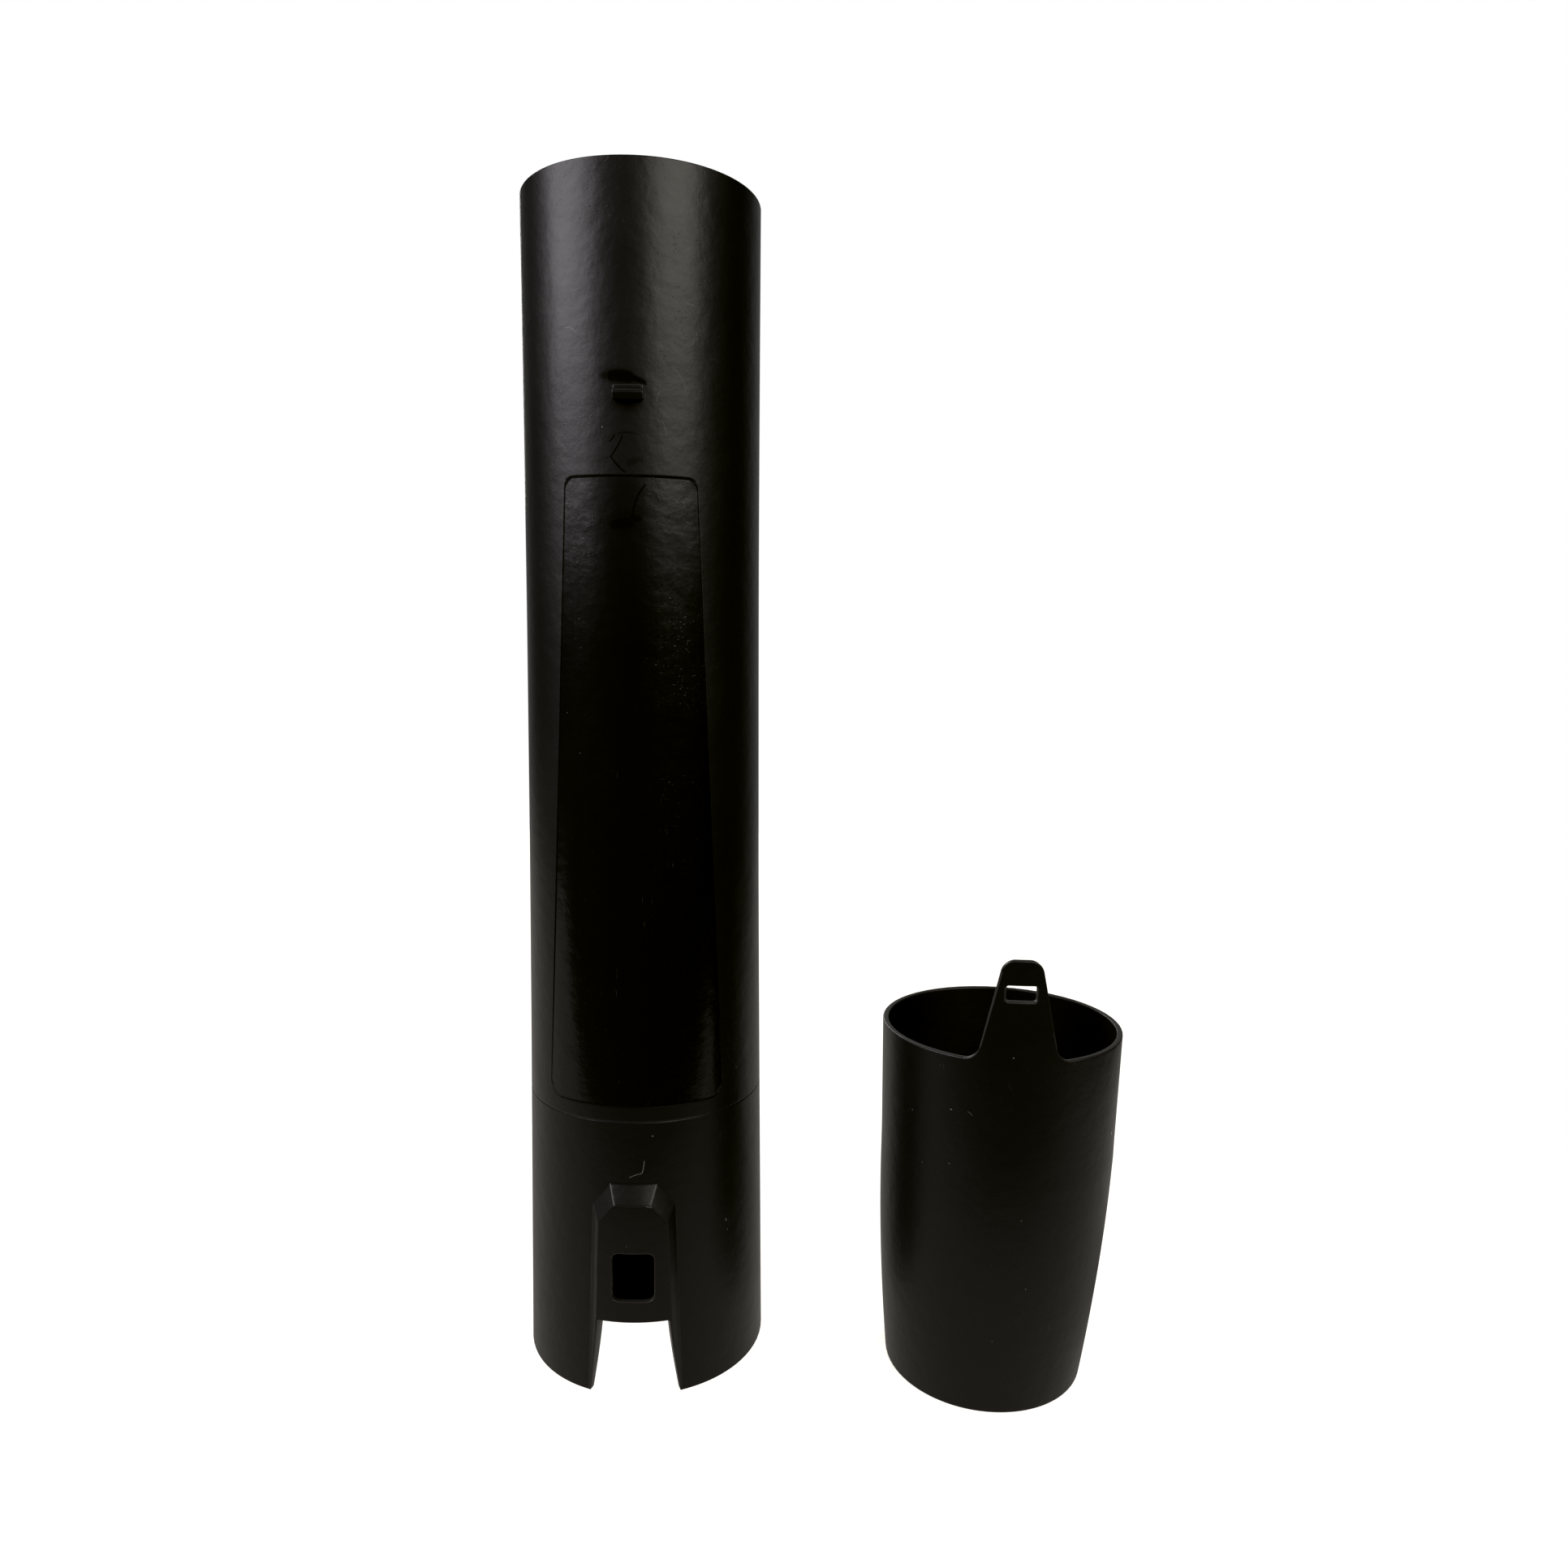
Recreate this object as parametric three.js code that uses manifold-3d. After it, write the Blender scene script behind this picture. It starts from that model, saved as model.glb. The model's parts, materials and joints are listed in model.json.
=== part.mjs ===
// A leaf-blower tube and its nozzle, standing side by side on a bench.
// Millimetres, +Z up. The tube stands on the collar that clips over the blower; the nozzle stands on its
// outlet with its latch tongue up. The origin is the bottom centre of the pair's bounding box.

import * as THREE from "three";
import { mergeVertices } from "three/addons/utils/BufferGeometryUtils.js";
import Module from "manifold-3d";

const wasm = await Module();
wasm.setup();

// ---------------------------------------------------------------- driving dimensions

const WALL = 2.5; // both mouldings
const EDGE = 0.4; // chamfer on every open rim
const FACETS = 72; // sides of a full circle
const THROUGH = 5; // how far a cutter runs past what it cuts

// tube: a conical collar below, a slightly waisted barrel above
const TUBE_LENGTH = 442;
const COLLAR_LENGTH = 110;
const COLLAR_FOOT_R = 48;
const COLLAR_TOP_R = 46.25;
const BARREL_END_R = 43.4;
const BARREL_WAIST = 0.6; // how far the barrel's side bows in at mid-length
const BARREL_ROWS = 6;

// the rib inside the collar that stops the blower's spigot
const STOP_RIB_DEPTH = 1.4;
const STOP_RIB_HEIGHT = 3;

// latch boss: a raised land with sloping sides, low on the collar's front
const BOSS_RISE = 3.8;
const BOSS_TOP_Z = 86;
const BOSS_CORNER_Z = 77;
const BOSS_FOOT_HALF = 17.9;
const BOSS_CORNER_HALF = 15.9;
const BOSS_TOP_HALF = 9;
const LAND_INSET = 2.5; // the land's edge, inboard of the boss's edge
const LAND_DROP = 6.6; // the land's top and corners, below the boss's
const WINDOW_WIDTH = 15.8;
const WINDOW_HEIGHT = 19;
const WINDOW_BOTTOM_Z = 41;
const WINDOW_CORNER_R = 2.4;
const NOTCH_HEIGHT = 32.1;
const NOTCH_TOP_HALF = 13.5;
const NOTCH_FOOT_HALF = 18.1;
const CHANNEL_HALF = 12; // the release button's way, inside the boss
const CHANNEL_TOP_Z = 72;

// shallow label panel on the barrel's front
const PANEL_BOTTOM_Z = 115.8;
const PANEL_HEIGHT = 225.5;
const PANEL_BOTTOM_HALF = 33;
const PANEL_TOP_HALF = 23;
const PANEL_BOTTOM_CORNER_R = 6.5;
const PANEL_TOP_CORNER_R = 3.8;
const PANEL_DEPTH = 0.5;

// catch that the nozzle's tongue snaps over
const CATCH_FROM_END = 74; // the catch's middle, below the tube's end
const CATCH_WIDTH = 10.4;
const CATCH_HEIGHT = 4.8;
const CATCH_RISE = 2.4;
const CATCH_CREST = 1; // the flat crest between the ramp and the hooked face
const CATCH_UNDERCUT = 0.6;

// nozzle: a sleeve that slips over the tube's end, then a rounded taper to the outlet
const FIT_CLEARANCE = 0.15; // on the radius, where the tongue's tip lies on the tube
const SEAT_GAP = 0.3; // between the tube's end and the ledge it seats on
const SLEEVE_WALL = 2.2;
const SLEEVE_DEPTH = 49;
const SLEEVE_FLARE = 0.8; // how much smaller the outside is at the sleeve's root than at its rim
const TAPER_LENGTH = 92;
const TAPER_POWER = 1.75; // roundness of the taper
const TAPER_ROWS = 8;
const OUTLET_R = 39.1;
const OUTLET_WALL = 2.3;
const OUTLET_OFFSET = 2; // the outlet is set over to one side
const SEAT_WALL = 2.9; // wall just under the ledge that the tube's end seats on

// latch tongue on the sleeve's rim
const TONGUE_LENGTH = 37.2;
const TONGUE_ROOT_HALF = 14.6;
const TONGUE_TIP_HALF = 6.8;
const TONGUE_TIP_R = 4;
const TONGUE_ROOT_R = 4.5;
const TONGUE_GAP = 0.3; // working gap that stands for the flexing root
const SLOT_CLEARANCE = 0.3; // around the catch, each side
const SLOT_PLAY = 0.35; // above and below the catch
const SLOT_CORNER_R = 0.5;

// where the nozzle stands, from the tube's axis
const NOZZLE_X = 140.8;
const NOZZLE_Y = -17.3;
const NOZZLE_TURN = THREE.MathUtils.degToRad(-3.7);

// ---------------------------------------------------------------- derived sizes

const BARREL_LENGTH = TUBE_LENGTH - COLLAR_LENGTH;
const CATCH_Z = TUBE_LENGTH - CATCH_FROM_END;
const TUBE_IN_SLEEVE = SLEEVE_DEPTH - SEAT_GAP; // how much of the tube's end goes in
const TIP_ON_TUBE_Z = TUBE_LENGTH - TUBE_IN_SLEEVE - TONGUE_LENGTH; // where the seated tongue ends
const RIM_BORE_R = tubeRadius(TIP_ON_TUBE_Z) + FIT_CLEARANCE;
const RIM_R = RIM_BORE_R + SLEEVE_WALL;
const SLEEVE_ROOT_R = RIM_R - SLEEVE_FLARE;
const RIM_Z = TAPER_LENGTH + SLEEVE_DEPTH;
const SLOT_ABOVE_RIM = CATCH_FROM_END - TUBE_IN_SLEEVE; // puts the slot over the seated catch
const SLOT_WIDTH = CATCH_WIDTH + 2 * SLOT_CLEARANCE;
const SLOT_HEIGHT = CATCH_HEIGHT + 2 * SLOT_PLAY;

// outside radius of the tube at height z
function tubeRadius(z) {
  if (z <= COLLAR_LENGTH)
    return THREE.MathUtils.lerp(COLLAR_FOOT_R, COLLAR_TOP_R, z / COLLAR_LENGTH);
  const t = (z - COLLAR_LENGTH) / BARREL_LENGTH;
  const cone = THREE.MathUtils.lerp(COLLAR_TOP_R, BARREL_END_R, t);
  return cone - BARREL_WAIST * 4 * t * (1 - t);
}

// outside radius of the nozzle at height z
function nozzleRadius(z) {
  if (z >= TAPER_LENGTH)
    return THREE.MathUtils.lerp(SLEEVE_ROOT_R, RIM_R, (z - TAPER_LENGTH) / SLEEVE_DEPTH);
  const t = z / TAPER_LENGTH;
  return OUTLET_R + (SLEEVE_ROOT_R - OUTLET_R) * (1 - (1 - t) ** TAPER_POWER);
}

// heights that split a span into equal rows, both ends included
function rows(low, high, count) {
  return Array.from({ length: count + 1 }, (_, i) => THREE.MathUtils.lerp(low, high, i / count));
}

// ---------------------------------------------------------------- solids

function solidOf(geometry) {
  const bare = geometry.clone();
  bare.deleteAttribute("normal");
  bare.deleteAttribute("uv");
  const merged = mergeVertices(bare, 1e-4);
  const vertProperties = new Float32Array(merged.attributes.position.array);
  const triVerts = new Uint32Array(merged.index.array);
  return new wasm.Manifold(new wasm.Mesh({ numProp: 3, vertProperties, triVerts }));
}

function geometryOf(solid) {
  const mesh = solid.getMesh();
  const geometry = new THREE.BufferGeometry();
  geometry.setAttribute("position", new THREE.BufferAttribute(mesh.vertProperties, 3));
  geometry.setIndex(new THREE.BufferAttribute(mesh.triVerts, 1));
  geometry.computeVertexNormals();
  return geometry;
}

// turns a closed [radius, height] outline, anticlockwise in that plane, round the Z axis
function revolve(outline) {
  const points = [...outline, outline[0]].map(([r, z]) => new THREE.Vector2(r, z));
  return solidOf(new THREE.LatheGeometry(points, FACETS).rotateX(Math.PI / 2));
}

// a solid of revolution filled to the axis, r(z) proud by `grow`
function core(radius, heights, grow) {
  const side = heights.map((z) => [radius(z) + grow, z]);
  const outline = [[0, heights[0]], ...side, [0, heights.at(-1)]];
  const points = outline.map(([r, z]) => new THREE.Vector2(r, z));
  return solidOf(new THREE.LatheGeometry(points, FACETS).rotateX(Math.PI / 2));
}

// a front-view shape (x across, y up) carried along Y between two depths
function throughFront(shape, yFar, yNear) {
  const geometry = new THREE.ExtrudeGeometry(shape, {
    depth: yNear - yFar,
    bevelEnabled: false,
    curveSegments: 6,
  });
  return solidOf(geometry.rotateX(Math.PI / 2).translate(0, yNear, 0));
}

// a closed solid between two front-view polygons of equal count at two depths, far one first
function frustum(far, yFar, near, yNear) {
  const n = far.length;
  const ring = (points, y) => points.flatMap(([x, z]) => [x, y, z]);
  const position = new Float32Array([...ring(far, yFar), ...ring(near, yNear)]);
  const index = [];
  for (let i = 0; i < n; i++) {
    const j = (i + 1) % n;
    index.push(i, n + j, j, i, n + i, n + j);
    if (i > 0 && j > 0) index.push(0, i, j, n, n + j, n + i);
  }
  const geometry = new THREE.BufferGeometry();
  geometry.setAttribute("position", new THREE.BufferAttribute(position, 3));
  geometry.setIndex(index);
  return solidOf(geometry);
}

// corners of a convex outline rounded by arcs, one radius per corner
function roundedShape(corners) {
  const shape = new THREE.Shape();
  corners.forEach(([x, y, r], i) => {
    const here = new THREE.Vector2(x, y);
    const before = new THREE.Vector2(...corners.at(i - 1).slice(0, 2)).sub(here);
    const after = new THREE.Vector2(...corners[(i + 1) % corners.length].slice(0, 2)).sub(here);
    const half = Math.abs(before.angleTo(after)) / 2;
    const run = r / Math.tan(half);
    const start = here.clone().addScaledVector(before.normalize(), run);
    const end = here.clone().addScaledVector(after.normalize(), run);
    if (i === 0) shape.moveTo(start.x, start.y);
    else shape.lineTo(start.x, start.y);
    shape.quadraticCurveTo(x, y, end.x, end.y);
  });
  shape.closePath();
  return shape;
}

// ---------------------------------------------------------------- the tube

function tubeBody() {
  const barrel = rows(COLLAR_LENGTH, TUBE_LENGTH, BARREL_ROWS);
  const outside = [
    [COLLAR_FOOT_R - EDGE, 0],
    [tubeRadius(EDGE), EDGE],
    ...barrel.slice(0, -1).map((z) => [tubeRadius(z), z]),
    [tubeRadius(TUBE_LENGTH - EDGE), TUBE_LENGTH - EDGE],
    [BARREL_END_R - EDGE, TUBE_LENGTH],
  ];
  const ribTop = COLLAR_LENGTH;
  const ribBottom = ribTop - STOP_RIB_HEIGHT;
  const inside = [
    ...barrel.reverse().map((z) => [tubeRadius(z) - WALL, z]).slice(0, -1),
    [tubeRadius(ribTop) - WALL, ribTop + STOP_RIB_DEPTH],
    [tubeRadius(ribTop) - WALL - STOP_RIB_DEPTH, ribTop],
    [tubeRadius(ribTop) - WALL - STOP_RIB_DEPTH, ribBottom],
    [tubeRadius(ribBottom) - WALL, ribBottom],
    [tubeRadius(EDGE) - WALL, EDGE],
    [COLLAR_FOOT_R - WALL + EDGE, 0],
  ];
  return revolve([...outside, ...inside]);
}

function labelRecess() {
  const top = PANEL_BOTTOM_Z + PANEL_HEIGHT;
  const outline = roundedShape([
    [-PANEL_BOTTOM_HALF, PANEL_BOTTOM_Z, PANEL_BOTTOM_CORNER_R],
    [PANEL_BOTTOM_HALF, PANEL_BOTTOM_Z, PANEL_BOTTOM_CORNER_R],
    [PANEL_TOP_HALF, top, PANEL_TOP_CORNER_R],
    [-PANEL_TOP_HALF, top, PANEL_TOP_CORNER_R],
  ]);
  const block = throughFront(outline, -COLLAR_FOOT_R - THROUGH, -COLLAR_FOOT_R / 2);
  const heights = rows(COLLAR_LENGTH, TUBE_LENGTH, BARREL_ROWS);
  return block.subtract(core(tubeRadius, heights, -PANEL_DEPTH));
}

// Boss outlines in front view, at the tube's face and at the land's face, meet the same six corners.
function bossSolid() {
  const base = (half, z) => [half, z, -Math.sqrt(tubeRadius(z) ** 2 - half ** 2)];
  const land = (half, z) => [half, z, -Math.sqrt((tubeRadius(z) + BOSS_RISE) ** 2 - half ** 2)];
  const pairs = [
    [base(BOSS_FOOT_HALF, 0), land(BOSS_FOOT_HALF - LAND_INSET, 0)],
    [
      base(BOSS_CORNER_HALF, BOSS_CORNER_Z),
      land(BOSS_CORNER_HALF - LAND_INSET, BOSS_CORNER_Z - LAND_DROP),
    ],
    [base(BOSS_TOP_HALF, BOSS_TOP_Z), land(BOSS_TOP_HALF - LAND_INSET, BOSS_TOP_Z - LAND_DROP)],
  ];
  // each corner line is carried to two common depths, one inside the wall and one outside the land
  const far = -COLLAR_FOOT_R - BOSS_RISE - 1;
  const near = -COLLAR_TOP_R * Math.cos(BOSS_FOOT_HALF / COLLAR_TOP_R) + WALL / 2;
  const at = ([a, b], y) => {
    const t = (y - a[2]) / (b[2] - a[2]);
    return [a[0] + (b[0] - a[0]) * t, a[1] + (b[1] - a[1]) * t];
  };
  const outline = (y) => {
    const right = pairs.map((pair) => at(pair, y));
    return [...right, ...right.toReversed().map(([x, z]) => [-x, z])];
  };
  const wedge = frustum(outline(far), far, outline(near), near);
  const skin = core(tubeRadius, [0, BOSS_TOP_Z + THROUGH], BOSS_RISE);
  const bore = core(tubeRadius, [-THROUGH, BOSS_TOP_Z + 2 * THROUGH], -WALL / 2);
  return wedge.intersect(skin).subtract(bore);
}

function buttonChannel() {
  const box = new THREE.BoxGeometry(2 * CHANNEL_HALF, COLLAR_FOOT_R, CHANNEL_TOP_Z + THROUGH);
  box.translate(0, -COLLAR_FOOT_R, (CHANNEL_TOP_Z - THROUGH) / 2);
  const heights = [-THROUGH, CHANNEL_TOP_Z + THROUGH];
  return solidOf(box).intersect(core(tubeRadius, heights, BOSS_RISE - WALL));
}

function latchWindow() {
  const half = WINDOW_WIDTH / 2;
  const top = WINDOW_BOTTOM_Z + WINDOW_HEIGHT;
  const outline = roundedShape([
    [-half, WINDOW_BOTTOM_Z, WINDOW_CORNER_R],
    [half, WINDOW_BOTTOM_Z, WINDOW_CORNER_R],
    [half, top, WINDOW_CORNER_R],
    [-half, top, WINDOW_CORNER_R],
  ]);
  return throughFront(outline, -COLLAR_FOOT_R - BOSS_RISE - THROUGH, -COLLAR_FOOT_R / 2);
}

// the notch flares towards the foot along a parabola on each side
function footNotch() {
  const shape = new THREE.Shape();
  shape.moveTo(-NOTCH_FOOT_HALF, -THROUGH);
  shape.lineTo(NOTCH_FOOT_HALF, -THROUGH);
  shape.lineTo(NOTCH_FOOT_HALF, 0);
  shape.quadraticCurveTo(NOTCH_TOP_HALF, NOTCH_HEIGHT / 2, NOTCH_TOP_HALF, NOTCH_HEIGHT);
  shape.lineTo(-NOTCH_TOP_HALF, NOTCH_HEIGHT);
  shape.quadraticCurveTo(-NOTCH_TOP_HALF, NOTCH_HEIGHT / 2, -NOTCH_FOOT_HALF, 0);
  shape.closePath();
  return throughFront(shape, -COLLAR_FOOT_R - BOSS_RISE - THROUGH, -COLLAR_FOOT_R / 2);
}

// a wedge with its ramp towards the tube's end and a hooked face towards the foot
function catchHook() {
  const top = CATCH_Z + CATCH_HEIGHT / 2;
  const bottom = CATCH_Z - CATCH_HEIGHT / 2;
  const face = tubeRadius(CATCH_Z);
  const root = face - WALL / 2;
  const crest = face + CATCH_RISE;
  const shape = new THREE.Shape();
  shape.moveTo(root, bottom + CATCH_UNDERCUT);
  shape.lineTo(face, bottom + CATCH_UNDERCUT);
  shape.lineTo(crest, bottom);
  shape.lineTo(crest, bottom + CATCH_CREST);
  shape.lineTo(face - EDGE, top);
  shape.lineTo(root, top);
  shape.closePath();
  const geometry = new THREE.ExtrudeGeometry(shape, { depth: CATCH_WIDTH, bevelEnabled: false });
  geometry.rotateX(Math.PI / 2).rotateZ(-Math.PI / 2).translate(CATCH_WIDTH / 2, 0, 0);
  return solidOf(geometry);
}

function blowerTube() {
  return tubeBody()
    .add(bossSolid())
    .subtract(buttonChannel())
    .subtract(latchWindow())
    .subtract(footNotch())
    .subtract(labelRecess())
    .add(catchHook());
}

// ---------------------------------------------------------------- the nozzle

// slides each vertex sideways: full offset at the outlet, none from the sleeve's root up
function setOver(geometry) {
  const position = geometry.attributes.position;
  for (let i = 0; i < position.count; i++) {
    const below = Math.max(0, 1 - position.getZ(i) / TAPER_LENGTH);
    position.setX(i, position.getX(i) - OUTLET_OFFSET * below);
  }
  return geometry;
}

function nozzleShell() {
  const taper = rows(0, TAPER_LENGTH, TAPER_ROWS);
  const wall = (z) => THREE.MathUtils.lerp(OUTLET_WALL, SEAT_WALL, z / TAPER_LENGTH);
  const outline = [
    ...taper.map((z) => [nozzleRadius(z), z]),
    [nozzleRadius(RIM_Z - EDGE), RIM_Z - EDGE],
    [RIM_R - EDGE, RIM_Z],
    [RIM_BORE_R + EDGE, RIM_Z],
    [RIM_BORE_R, RIM_Z - EDGE],
    [RIM_BORE_R, TAPER_LENGTH],
    ...taper.reverse().map((z) => [nozzleRadius(z) - wall(z), z]),
  ];
  return solidOf(setOver(geometryOf(revolve(outline))));
}

// half of the tongue's front outline: root fillet, sloping side, rounded tip
function tongueShape(zRoot) {
  const tip = RIM_Z + TONGUE_LENGTH;
  const shape = new THREE.Shape();
  const side = new THREE.Vector2(TONGUE_TIP_HALF - TONGUE_ROOT_HALF, TONGUE_LENGTH).normalize();
  const along = (x, z, run) => [x + side.x * run, z + side.y * run];
  const [footX, footZ] = along(TONGUE_ROOT_HALF, RIM_Z, TONGUE_ROOT_R);
  const [headX, headZ] = along(TONGUE_TIP_HALF, tip, -TONGUE_TIP_R);
  const spread = TONGUE_ROOT_HALF + TONGUE_ROOT_R;
  shape.moveTo(-spread, zRoot);
  shape.lineTo(spread, zRoot);
  shape.quadraticCurveTo(TONGUE_ROOT_HALF, zRoot, footX, footZ);
  shape.lineTo(headX, headZ);
  shape.quadraticCurveTo(TONGUE_TIP_HALF, tip, TONGUE_TIP_HALF - TONGUE_TIP_R, tip);
  shape.lineTo(TONGUE_TIP_R - TONGUE_TIP_HALF, tip);
  shape.quadraticCurveTo(-TONGUE_TIP_HALF, tip, -headX, headZ);
  shape.lineTo(-footX, footZ);
  shape.quadraticCurveTo(-TONGUE_ROOT_HALF, zRoot, -spread, zRoot);
  shape.closePath();
  return shape;
}

function latchTongue() {
  const zRoot = RIM_Z + TONGUE_GAP;
  const high = RIM_Z + TONGUE_LENGTH + THROUGH;
  const ring = revolve([
    [RIM_BORE_R, zRoot - THROUGH],
    [RIM_R, zRoot - THROUGH],
    [RIM_R, high],
    [RIM_BORE_R, high],
  ]);
  const half = SLOT_WIDTH / 2;
  const low = RIM_Z + SLOT_ABOVE_RIM - SLOT_HEIGHT / 2;
  const slot = roundedShape([
    [-half, low, SLOT_CORNER_R],
    [half, low, SLOT_CORNER_R],
    [half, low + SLOT_HEIGHT, SLOT_CORNER_R],
    [-half, low + SLOT_HEIGHT, SLOT_CORNER_R],
  ]);
  const front = [-RIM_R - THROUGH, -RIM_R / 2];
  return ring.intersect(throughFront(tongueShape(zRoot), ...front)).subtract(throughFront(slot, ...front));
}

// ---------------------------------------------------------------- the scene

const plastic = new THREE.MeshStandardMaterial({ color: 0x0c0c0b, roughness: 0.42, metalness: 0 });

function piece(name, solid) {
  const mesh = new THREE.Mesh(geometryOf(solid), plastic);
  mesh.name = name;
  return mesh;
}

const group = new THREE.Group();

// the pair's bounding box, from the tube's axis, centres the origin under it
const lowX = -COLLAR_FOOT_R;
const highX = NOZZLE_X + RIM_R;
const lowY = Math.min(-COLLAR_FOOT_R - BOSS_RISE, NOZZLE_Y - RIM_R);
const highY = COLLAR_FOOT_R;
const tube = new THREE.Group();
tube.position.set(-(lowX + highX) / 2, -(lowY + highY) / 2, 0);
tube.add(piece("blower_tube", blowerTube()));

const nozzle = new THREE.Group();
nozzle.position.set(tube.position.x + NOZZLE_X, tube.position.y + NOZZLE_Y, 0);
nozzle.rotation.z = NOZZLE_TURN;
nozzle.add(piece("nozzle_shell", nozzleShell()));
nozzle.add(piece("latch_tongue", latchTongue()));

group.add(tube, nozzle);

export default group;
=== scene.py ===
# %% [markdown]
# # A blower tube and its nozzle
#
# Two near-black moulded pieces stand on a white table: the long tube that clips to a hand-held blower, and
# the short nozzle that snaps over the tube's end. The CAD frame fixes where each one is. This file gives
# each moulding its fine surface: rounded edges, the raised latch boss, the sunk label panel, grain, rubs and
# dust.

# %% Load the frame
import json
import math

import bpy
import numpy as np
from mathutils import Matrix, Vector


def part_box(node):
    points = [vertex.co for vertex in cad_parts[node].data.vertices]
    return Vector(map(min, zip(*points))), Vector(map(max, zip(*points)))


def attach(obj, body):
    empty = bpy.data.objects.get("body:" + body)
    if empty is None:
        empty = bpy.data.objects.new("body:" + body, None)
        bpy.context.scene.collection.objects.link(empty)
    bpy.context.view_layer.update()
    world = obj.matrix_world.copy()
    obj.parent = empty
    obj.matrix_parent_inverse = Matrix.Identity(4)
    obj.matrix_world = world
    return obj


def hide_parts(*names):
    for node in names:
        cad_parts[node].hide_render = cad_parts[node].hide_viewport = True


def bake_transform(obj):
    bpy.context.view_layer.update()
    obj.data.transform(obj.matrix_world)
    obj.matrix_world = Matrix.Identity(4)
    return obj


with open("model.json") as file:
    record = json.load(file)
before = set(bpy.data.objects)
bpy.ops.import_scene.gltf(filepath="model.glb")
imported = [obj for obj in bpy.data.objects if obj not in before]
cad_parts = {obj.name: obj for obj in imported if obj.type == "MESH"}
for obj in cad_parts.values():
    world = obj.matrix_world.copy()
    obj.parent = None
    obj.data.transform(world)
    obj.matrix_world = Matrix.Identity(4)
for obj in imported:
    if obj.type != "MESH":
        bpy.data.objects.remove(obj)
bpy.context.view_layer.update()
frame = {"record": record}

MM = 0.001

# %% [markdown]
# ## Where things are
#
# Both mouldings are wrapped round vertical axes. The axes could be typed in, but then they would be wrong as
# soon as the CAD model changed. So they come from the boxes of the CAD nodes, and the way the nozzle faces
# comes from its tongue's hinge. Lengths below are millimetres until they are multiplied by MM.

# %% Axes and heights from the frame
tube_low, tube_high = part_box("blower_tube")
shell_low, shell_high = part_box("nozzle_shell")
tongue_low, tongue_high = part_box("latch_tongue")
hinge = next(j for j in frame["record"]["behaviour"]["joints"] if j["name"] == "tongue_flex")

TUBE_R = (tube_high.x - tube_low.x) / 2
TUBE_X = (tube_low.x + tube_high.x) / 2
TUBE_Y = tube_high.y - TUBE_R
TUBE_TOP = tube_high.z
NOZZLE_X = (shell_low.x + shell_high.x) / 2
NOZZLE_Y = (shell_low.y + shell_high.y) / 2
RIM_Z = shell_high.z
TIP_Z = tongue_high.z
NOZZLE_TURN = math.atan2(hinge["axis"][1], hinge["axis"][0])
TUBE_ARC = 48.0  # millimetres of arc in one radian of azimuth, at the tube's foot
NOZZLE_ARC = 46.0  # the same, at the nozzle's rim
print("tube axis", round(TUBE_X, 4), round(TUBE_Y, 4), "nozzle axis", round(NOZZLE_X, 4), round(NOZZLE_Y, 4))

# %% [markdown]
# ## Camera
#
# The camera stands about 0.43 m in front of the tube, below the tube's top, and looks slightly down. A
# longer lens from further off would flatten the wide ellipses of the rims. So the true distance is kept, and
# the camera's place is given from the tube's axis. It is rolled a little, as a camera held by hand is.

# %% Camera
PITCH, ROLL, YAW = 0.1574, 0.0139, math.radians(-0.65)
camera = bpy.data.objects.new("camera", bpy.data.cameras.new("camera"))
bpy.context.scene.collection.objects.link(camera)
bpy.context.scene.camera = camera
camera.data.sensor_width = 36
camera.data.lens = 25.352
camera.data.shift_y = 0.02787
camera.data.clip_start, camera.data.clip_end = 0.01, 50
forward = Vector((0, math.cos(PITCH), -math.sin(PITCH)))
right = Vector((1, 0, 0))
up = right.cross(forward)
side = right * math.cos(ROLL) + up * math.sin(ROLL)
top = up * math.cos(ROLL) - right * math.sin(ROLL)
facing = Matrix((side, top, -forward)).transposed()
turned = (Matrix.Rotation(YAW, 3, "Z") @ facing).to_4x4()
eye = (TUBE_X + 49.96 * MM, TUBE_Y - 432.9 * MM, 282.61 * MM)
camera.matrix_world = Matrix.Translation(eye) @ turned
print("camera at", [round(v, 4) for v in camera.location])

# %% [markdown]
# ## Shader arithmetic
#
# A material is a graph of nodes. Wiring it by hand takes three lines a node, and hides the sum that it works
# out. The small wrapper below holds one socket, and adding or multiplying it adds the Math node that does
# so. `node` makes any other kind, and works for a material and for the world alike.

# %% Socket wrapper
class Wire:
    """One output socket of a node tree, which can be used in a sum."""

    def __init__(self, tree, socket):
        self.tree, self.socket = tree, socket

    def combine(self, operation, *values):
        made = self.tree.nodes.new("ShaderNodeMath")
        made.operation = operation
        for slot, value in zip(made.inputs, values):
            plug(self.tree, slot, value)
        return Wire(self.tree, made.outputs[0])

    def math(self, operation, *others):
        return self.combine(operation, self, *others)

    def __add__(self, other): return self.combine("ADD", self, other)
    def __radd__(self, other): return self.combine("ADD", other, self)
    def __sub__(self, other): return self.combine("SUBTRACT", self, other)
    def __rsub__(self, other): return self.combine("SUBTRACT", other, self)
    def __mul__(self, other): return self.combine("MULTIPLY", self, other)
    def __rmul__(self, other): return self.combine("MULTIPLY", other, self)
    def __truediv__(self, other): return self.combine("DIVIDE", self, other)
    def __rtruediv__(self, other): return self.combine("DIVIDE", other, self)

    def ramp(self, low, high):
        """0 at low, 1 at high, smooth between."""
        made = self.tree.nodes.new("ShaderNodeMapRange")
        made.interpolation_type = "SMOOTHSTEP"
        for key, value in (("Value", self), ("From Min", low), ("From Max", high)):
            plug(self.tree, made.inputs[key], value)
        return Wire(self.tree, made.outputs["Result"])


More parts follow.
